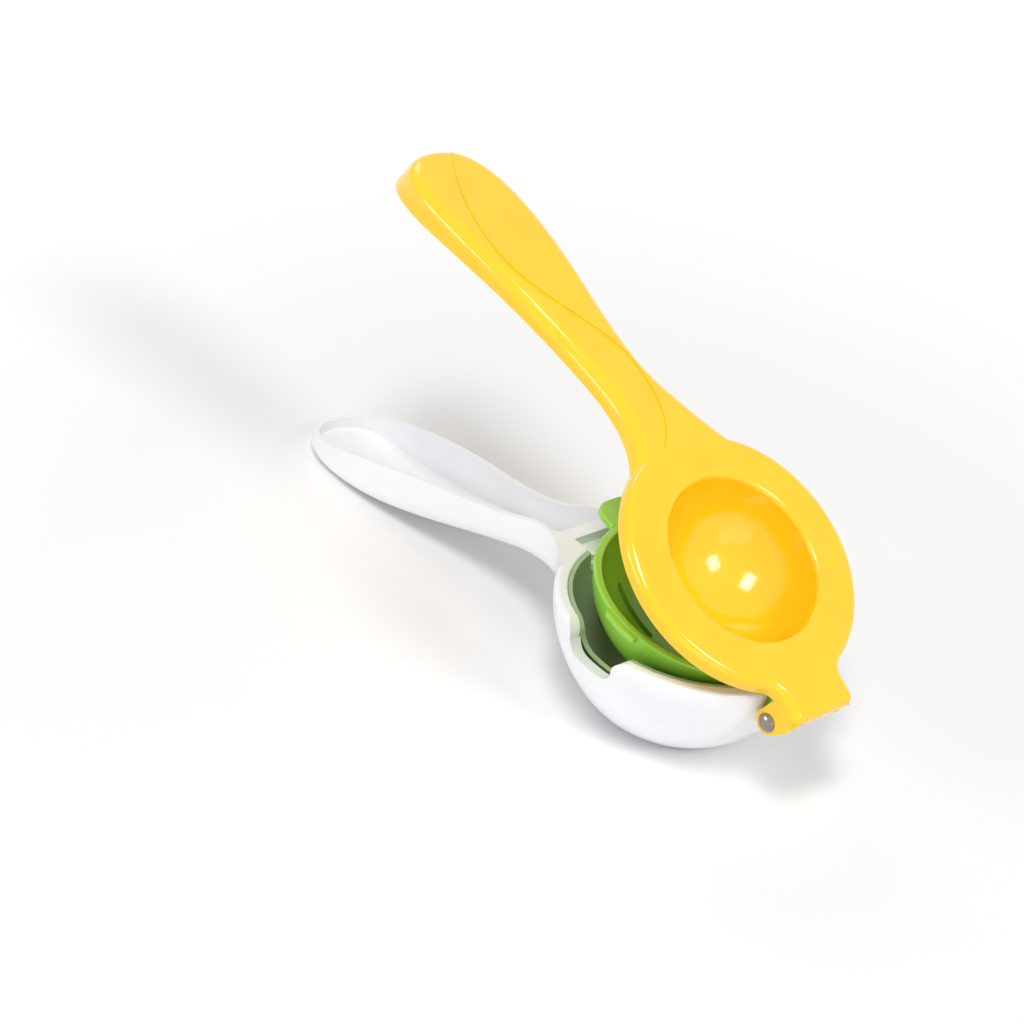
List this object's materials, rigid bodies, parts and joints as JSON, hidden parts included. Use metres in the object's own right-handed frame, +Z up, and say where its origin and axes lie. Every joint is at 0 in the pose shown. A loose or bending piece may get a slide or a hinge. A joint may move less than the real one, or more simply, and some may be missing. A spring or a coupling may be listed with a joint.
{
  "type": "citrus squeezer",
  "caption": "Hand-held citrus squeezer: lower arm with a strainer bowl, swinging strainer cup and an upper arm with a hollow press dome, hinged on one rivet.",
  "frame": {"origin": "centre of the drain opening in the round foot under the bowl, on the surface that the squeezer stands on", "axes": "+Z up, handles towards -X, hinge axis along Y at the +X side"},
  "size_m": [0.2253, 0.0846, 0.1194],
  "materials": {
    "white_nylon": "gloss white moulded nylon",
    "grey_green_nylon": "satin grey-green moulded nylon",
    "lime_green_nylon": "gloss lime-green moulded nylon",
    "lemon_yellow_nylon": "gloss lemon-yellow moulded nylon",
    "steel": "polished steel"
  },
  "bodies": {
    "base": {"lower_arm": "white_nylon", "lemon_bowl": "grey_green_nylon"},
    "cup": {"lime_cup": "lime_green_nylon"},
    "press": {"upper_arm": "lemon_yellow_nylon", "hinge_rivet": "steel", "rivet_cap": "steel"}
  },
  "joints": [
    {"name": "cup_hinge", "type": "hinge", "parent": "base", "child": "cup", "pos_m": [0.046, 0, 0.0306], "axis": [0, 1, 0], "range_deg": [-9.7, 35.3]},
    {"name": "arm_hinge", "type": "hinge", "parent": "cup", "child": "press", "pos_m": [0.046, 0, 0.0306], "axis": [0, 1, 0], "range_deg": [-17.8, 53.7]}
  ]
}
